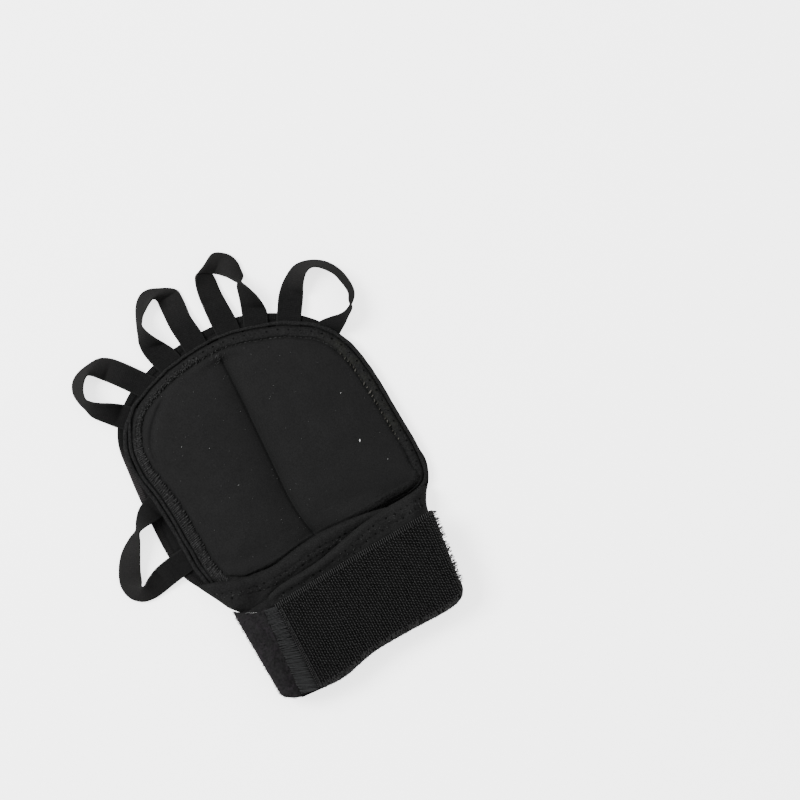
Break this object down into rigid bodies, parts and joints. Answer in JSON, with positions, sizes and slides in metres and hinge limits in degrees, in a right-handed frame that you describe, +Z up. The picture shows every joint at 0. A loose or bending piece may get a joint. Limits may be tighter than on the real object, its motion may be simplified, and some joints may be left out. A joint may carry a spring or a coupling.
{
  "type": "weighted training glove",
  "caption": "Left-hand fingerless training glove with a weighted palm pad, elastic finger and thumb loops, and a cuff closed by a wide hook-and-loop wrist strap.",
  "frame": {"origin": "on the ground under the middle of the glove's bounding box", "axes": "+Y from the wrist to the fingers, +X across the palm away from the thumb, +Z up, out of the side that the hand meets"},
  "size_m": [0.1476, 0.182, 0.0157],
  "materials": {
    "neoprene": "matt black knit-faced neoprene",
    "pad_knit": "fine matt black stretch knit",
    "piping": "black bound edge with thread",
    "elastic": "black cross-ribbed elastic webbing",
    "loop_pile": "black fuzzy loop pile",
    "hooks": "black moulded hooks on woven tape"
  },
  "bodies": {
    "root": {"back_panel": "neoprene", "weight_pad": "pad_knit", "edge_piping": "piping", "cuff_flap_thumb": "neoprene", "cuff_flap_outer": "neoprene", "wrist_band": "loop_pile", "hook_tape": "hooks", "finger_loop_index": "elastic", "finger_loop_middle": "elastic", "finger_loop_ring": "elastic", "finger_loop_little": "elastic", "thumb_loop": "elastic"}
  },
  "joints": []
}
